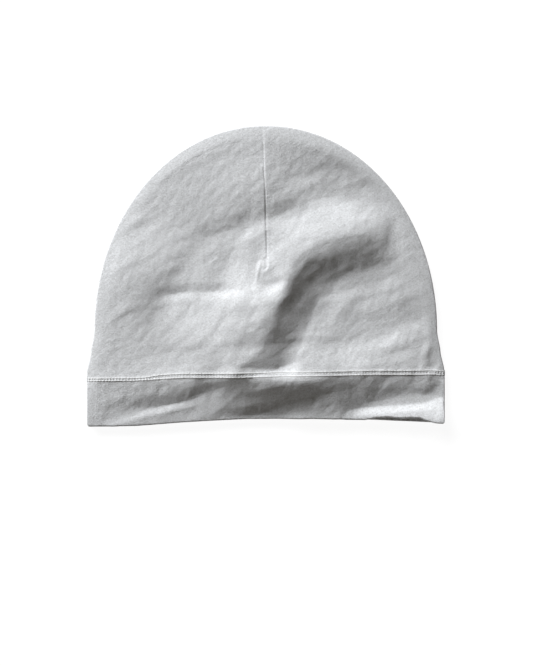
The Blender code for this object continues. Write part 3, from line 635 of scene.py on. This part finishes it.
def jersey(name, ribs, shift):
    """White cotton jersey. Columns of v-shaped loops run up the cloth: a loop's height is the round of its
    column times a wave that climbs away from the column's middle. Over them lie fibres, a slanting mottle
    from the uneven yarn, and uneven columns, as strong as ribs. The base colour follows that relief as
    painted light and shade, lighter where it stands high and darker down between the loops. Shift moves the
    pattern on, so that no two pieces show the same cloth."""
    material = bpy.data.materials.new(name)
    material.use_nodes = True
    tree = material.node_tree
    shader = tree.nodes["Principled BSDF"]
    start = Wire(tree)
    place = start.node("ShaderNodeUVMap", {"uv_map": "cloth"}, {})
    place = start.node("ShaderNodeVectorMath", {"operation": "ADD"}, {0: place, 1: (shift, shift, 0.0)})
    across = start.node("ShaderNodeSeparateXYZ", {}, {0: place})
    up = across.also("Y")

    wander = start.node("ShaderNodeTexNoise", {}, {"Vector": place, "Scale": 260.0, "Detail": 2.0})
    column = across * (1.0 / WALE) + wander * 0.5
    side = column.math("PINGPONG", column, 0.5) * 2.0
    climb = (up * (1.0 / COURSE) + side * 0.9 + wander * 0.6) * (2.0 * np.pi)
    loops = (1.0 - side * side) * (0.62 + climb.math("COSINE", climb) * 0.38)

    wale, course = column.math("FLOOR", column), up.math("FLOOR", up * (1.0 / COURSE))
    cell = start.node("ShaderNodeCombineXYZ", {}, {0: wale, 1: course})
    loop = start.node("ShaderNodeTexWhiteNoise", {"noise_dimensions": "3D"}, {"Vector": cell})
    fibres = {"Vector": place, "Scale": 900.0, "Detail": 2.0, "Roughness": 0.6}
    grain = start.node("ShaderNodeTexNoise", {}, fibres)

    def streaks(angle, long, short, detail):
        """Noise drawn out to the length long, across by short, along the angle."""
        turned = start.node(
            "ShaderNodeMapping",
            {"vector_type": "TEXTURE"},
            {"Vector": place, "Rotation": (0.0, 0.0, np.radians(angle)), "Scale": (long, short, 1.0)},
        )
        return start.node("ShaderNodeTexNoise", {}, {"Vector": turned, "Scale": 1.0, "Detail": detail})

    fine, broad = streaks(33.0, 0.0032, 0.0010, 2.0), streaks(38.0, 0.0062, 0.0024, 1.0)
    upright = start.node("ShaderNodeMapping", {}, {"Vector": place, "Scale": (640.0, 45.0, 1.0)})
    rib = start.node("ShaderNodeTexNoise", {}, {"Vector": upright, "Scale": 1.0, "Detail": 1.0})

    height = loops * 0.07 + loop * 0.03 + grain * 0.12 + fine * 0.09 + broad * 0.10 + rib * (0.05 * ribs)
    bump = start.node("ShaderNodeBump", {}, {"Height": height, "Distance": 0.001, "Strength": 1.0})
    tree.links.new(bump.socket, shader.inputs["Normal"])

    # Painted light and shade: the base colour is lighter where the loops, fibres, streaks and ribs stand high
    # and darker down between them.
    painted_shading = loops * 0.2 + loop * 0.45 + grain * 1.0 + fine * 0.8 + rib * (0.2 * ribs) - 0.71 - 0.1 * ribs
    colour = start.node(
        "ShaderNodeMix",
        {"data_type": "RGBA", "clamp_factor": True},
        {0: painted_shading, 6: JERSEY_PAINTED_SHADE, 7: JERSEY_PAINTED_LIT},
        output=2,
    )
    tree.links.new(colour.socket, shader.inputs["Base Color"])
    rough = 0.98 - loops * 0.10
    tree.links.new(rough.socket, shader.inputs["Roughness"])
    shader.inputs["Specular IOR Level"].default_value = 0.25
    shader.inputs["Sheen Weight"].default_value = 0.12
    shader.inputs["Sheen Roughness"].default_value = 0.45
    return material


front_jersey = jersey("crown_front_jersey", ribs=0.25, shift=0.0)
crown_front = crown_panel(
    "front_panel", front_height, 1, 12, front_jersey, side=58, dome=168, rows=164, rim=7, crowded=0.6
)
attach(crown_front, "root")
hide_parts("crown_front")

# Crown, back: a second panel of the same jersey, cut as the front's dome, without folds, lying on the
# surface. Its edges curl up to meet the front's, lip to lip, in the outline seam.
BACK_RIPPLE = 0.00012  # half the height of its slight waves


def back_height(x, y):
    """Height of the back's outer face over the surface: slight waves that touch it here and there."""
    wave = ruffle(x, y, seed=11, count=60, shortest=0.012, longest=0.045, slant=35.0, spread=40.0)
    return BACK_RIPPLE * (2.0 + np.clip(wave, -2.0, 2.0)) * ramp(inset(x, y) / FOLD_FADE)


back_jersey = jersey("crown_back_jersey", ribs=0.25, shift=0.3)
crown_back = crown_panel(
    "back_panel", back_height, -1, 6, back_jersey, side=26, dome=80, rows=62, rim=6, crowded=0.0
)
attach(crown_back, "root")
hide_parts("crown_back")

# Band: one strip of the same jersey, folded double along the hem and joined into a tube, its two raw edges
# sewn to the crown. At the right its front wall lifts off the back one, and the mouth stands a little open.
BAND_GAP = 0.00014  # air between the strip's two layers
WALL_ROWS = 48
MOUTH_LIFT = 0.0026  # how much higher up the cap the front's hem lies there
MOUTH_ACROSS = (0.55, 0.62, 0.68, 0.725, 0.76, 0.81, 0.86, 0.90, 0.94)
MOUTH_SHARE = (0.0, 0.75, 1.05, 0.90, 0.85, 1.15, 1.10, 0.45, 0.0)


def front_hem(x):
    """Height of the front's hem up the cap: the hem line, drawn up in waves at the mouth."""
    return hem_line(x) + MOUTH_LIFT * np.interp(x / HALF_WIDTH, MOUTH_ACROSS, MOUTH_SHARE)


def ring(front, back, fold):
    """The way once round the band from its left fold over the front and back below: x, and the turn, which is
    a quarter turn on the front, less round the folds, and a quarter turn the other way on the back."""
    quarter = np.linspace(0.0, np.pi / 2, fold + 1)
    reach = HALF_WIDTH - CURL
    upper, lower = quarter[:-1], -quarter[1:-1]
    over, under = np.full(front, np.pi / 2), np.full(back, -np.pi / 2)
    turn = np.concatenate([upper, over, upper[::-1], lower, under, lower[::-1]])
    folded = reach + CURL * np.cos(np.concatenate([upper[::-1], lower]))
    over, under = np.linspace(-reach, reach, front), np.linspace(reach, -reach, back)
    x = np.concatenate([-folded[fold - 1 :: -1], over, folded, under, -folded[: fold - 1 : -1]])
    return x, turn


def round_the_cap(x, turn, y):
    """Points round the cap at height y: the front's height where it lies on top, an arc round each side fold,
    and the back's below."""
    upper = SEAM_UP + (front_height(x, y) - SEAM_UP) * np.sin(turn)
    lower = SEAM_UP + (SEAM_UP - back_height(x, y)) * np.sin(turn)
    return np.stack([x, y, np.where(turn >= 0.0, upper, lower)], axis=-1)


x, turn = ring(front=400, back=150, fold=8)
top = seam_line(x)
hem = np.where(turn > 0.0, front_hem(x), hem_line(x)) + CLOTH
down = np.linspace(0.0, 1.0, WALL_ROWS)[:, None]
rows = top + (hem - top) * down
wall = round_the_cap(np.broadcast_to(x, rows.shape), np.broadcast_to(turn, rows.shape), rows)
beside = np.roll(wall, -1, axis=1) - np.roll(wall, 1, axis=1)
normal = np.cross(np.gradient(wall, axis=0), beside)
normal /= np.linalg.norm(normal, axis=-1, keepdims=True)
tangent = wall[-1] - wall[-3]
tangent /= np.linalg.norm(tangent, axis=-1, keepdims=True)

walk = np.concatenate([[0.0], np.cumsum(np.linalg.norm(np.diff(wall[0], axis=0), axis=-1))])
drop = (top - hem) * down
loops, along = [], []


def add_wall(picked, depth, turned):
    """Rows of the wall at a depth inside its outer face, and how far each lies along the strip: down the
    outer layer, or up the turned one."""
    for row in picked:
        loops.append(wall[row] - depth * normal[row])
        along.append(drop[row] - 2.0 * drop[-1] if turned else -drop[row])


def add_roll():
    """The strip's half round at the hem, from its outer face to its inner one."""
    for angle in np.linspace(0.0, np.pi, 9)[1:-1]:
        below, inside = CLOTH * np.sin(angle), CLOTH * (1.0 - np.cos(angle))
        loops.append(wall[-1] + below * tangent - inside * normal[-1])
        along.append(-drop[-1] - 0.5 * below)


# The strip's section: down its outer face, round the hem, up the face inside the cap, and back down and up
# between its two layers
layer = CLOTH - BAND_GAP / 2
add_wall(range(WALL_ROWS), 0.0, False)
add_roll()
add_wall(range(WALL_ROWS - 1, -1, -4), 2 * CLOTH, True)
add_wall(range(0, WALL_ROWS, 8), 2 * CLOTH - layer, True)
add_wall(range(WALL_ROWS - 8, -1, -8), layer, False)
grid = np.array(loops)
count, around = grid.shape[:2]
n = np.pad(np.arange(count * around).reshape(count, around), (0, 1), mode="wrap")
quads = np.stack([n[:-1, :-1], n[1:, :-1], n[1:, 1:], n[:-1, 1:]], axis=-1).reshape(-1, 4)
shell = grid.reshape(-1, 3), quads, np.zeros((0, 3), int)
flats = np.stack([np.broadcast_to(walk, (count, around)), np.array(along)], axis=-1).reshape(-1, 2)
band = cloth_piece("band_strip", *shell, flats, jersey("band_jersey", ribs=1.0, shift=0.6))
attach(band, "root")
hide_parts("band")

# Topstitching: two rows of white thread all round, sewn through the seam that joins the band to the crown,
# with the slanting thread of the coverstitch between them. Each stitch is its own small grain.
STITCH_PITCH = 0.00193  # 13 stitches to the inch
STITCH_REACH = 0.0008  # a stitch's direction is read this far before and behind it
STITCH_OUT = 0.35  # how far its middle stands off the cloth's face, as a share of its height
TABLE_GAP = 0.00004  # stitches underneath are pressed flat, this far over the surface


def thread():
    """White twisted thread: noise drawn out aslant stands for its plies, as bumps and as painted shade that
    darkens the colour down between them.
    """
    material = bpy.data.materials.new("white_thread")
    material.use_nodes = True
    tree = material.node_tree
    shader = tree.nodes["Principled BSDF"]
    start = Wire(tree)
    place = start.node("ShaderNodeTexCoord", {}, {}, "Object")
    aslant = {"Vector": place, "Rotation": (0.0, 0.0, 0.6), "Scale": (7000.0, 1500.0, 2500.0)}
    ply = start.node("ShaderNodeMapping", {}, aslant)
    ply = start.node("ShaderNodeTexNoise", {}, {"Vector": ply, "Scale": 1.0, "Detail": 2.0})
    bump = start.node("ShaderNodeBump", {}, {"Height": ply, "Distance": 0.0001, "Strength": 1.0})
    tree.links.new(bump.socket, shader.inputs["Normal"])
    # Painted shade: the colour is darker where the ply noise is low, between the plies.
    painted_ply_shading = {0: ply, 6: (0.80, 0.80, 0.79, 1.0), 7: (0.95, 0.95, 0.95, 1.0)}
    colour = start.node("ShaderNodeMix", {"data_type": "RGBA"}, painted_ply_shading, output=2)
    tree.links.new(colour.socket, shader.inputs["Base Color"])
    shader.inputs["Roughness"].default_value = 0.55
    shader.inputs["Sheen Weight"].default_value = 0.2
    return material


def stitches(size, offset, slant, seed):
    """One row of stitches: rounded grains of size (length, width, height) set one by one along the ring at
    offset, a share of the row gap, over the seam, each turned by about slant degrees in the plane of the
    cloth. A grain is four rings of eight points and a point at each tip."""
    x, turn = ring(front=2400, back=1200, fold=24)
    path = round_the_cap(x, turn, seam_line(x) + offset * row_gap(x))
    path = np.concatenate([path, path[:1]])
    walk = np.concatenate([[0.0], np.cumsum(np.linalg.norm(np.diff(path, axis=0), axis=-1))])
    count = int(round(walk[-1] / STITCH_PITCH))
    draw = np.random.default_rng(seed)
    at = (np.arange(count) + 0.5 + 0.05 * draw.standard_normal(count)) * walk[-1] / count

    def where(s):
        """The points that lie s along the path."""
        return np.stack([np.interp(s % walk[-1], walk, path[:, k]) for k in range(3)], axis=-1)

    middle = where(at)
    forward = where(at + STITCH_REACH) - where(at - STITCH_REACH)
    forward /= np.linalg.norm(forward, axis=-1, keepdims=True)
    up_cap = np.broadcast_to([0.0, 1.0, 0.0], forward.shape)
    out = np.cross(forward, up_cap)
    out /= np.linalg.norm(out, axis=-1, keepdims=True)
    aside = np.cross(out, forward)
    lean = np.radians(slant + 4.0 * draw.standard_normal(count))[:, None]
    long_way = forward * np.cos(lean) + aside * np.sin(lean)
    short_way = aside * np.cos(lean) - forward * np.sin(lean)

    spin = np.linspace(0.0, 2.0 * np.pi, 8, endpoint=False)
    along = np.array([-0.86, -0.45, 0.45, 0.86])
    girth = np.array([[0.62], [1.0], [1.0], [0.62]])
    rings = [np.repeat(along, 8), (girth * np.cos(spin)).ravel(), (girth * np.sin(spin)).ravel()]
    tips = [[-1.0, 0.0, 0.0], [1.0, 0.0, 0.0]]
    grain = np.concatenate([np.stack(rings, axis=-1), tips]) * np.array(size) / 2
    frames = np.stack([long_way, short_way, out], axis=1)
    points = middle[:, None] + out[:, None] * (size[2] * STITCH_OUT) + grain @ frames
    points[..., 2] = np.maximum(points[..., 2], TABLE_GAP)

    a = np.arange(8)  # a point of the first ring, and b the next one round
    b = np.roll(a, -1)
    quads = np.concatenate([np.stack([a, b, b + 8, a + 8], axis=-1) + 8 * k for k in range(3)])
    near_tip, far_tip = np.full(8, len(grain) - 2), np.full(8, len(grain) - 1)
    caps = np.concatenate(
        [np.stack([b, a, near_tip], axis=-1), np.stack([a + 24, b + 24, far_tip], axis=-1)]
    )
    shift = len(grain) * np.arange(count)[:, None, None]
    return points.reshape(-1, 3), (quads + shift).reshape(-1, 4), (caps + shift).reshape(-1, 3)


sewn = [
    stitches((0.00200, 0.00085, 0.00022), offset=0.0, slant=5.0, seed=21),
    stitches((0.00150, 0.00060, 0.00026), offset=0.54, slant=62.0, seed=23),
    stitches((0.00200, 0.00085, 0.00022), offset=1.0, slant=3.0, seed=22),
]
firsts = np.cumsum([0] + [len(row[0]) for row in sewn])
points = np.concatenate([row[0] for row in sewn])
quads = np.concatenate([row[1] + first for row, first in zip(sewn, firsts)])
threes = np.concatenate([row[2] + first for row, first in zip(sewn, firsts)])
thread_rows = cloth_piece("topstitching", points, quads, threes, points[:, :2], thread())
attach(thread_rows, "root")
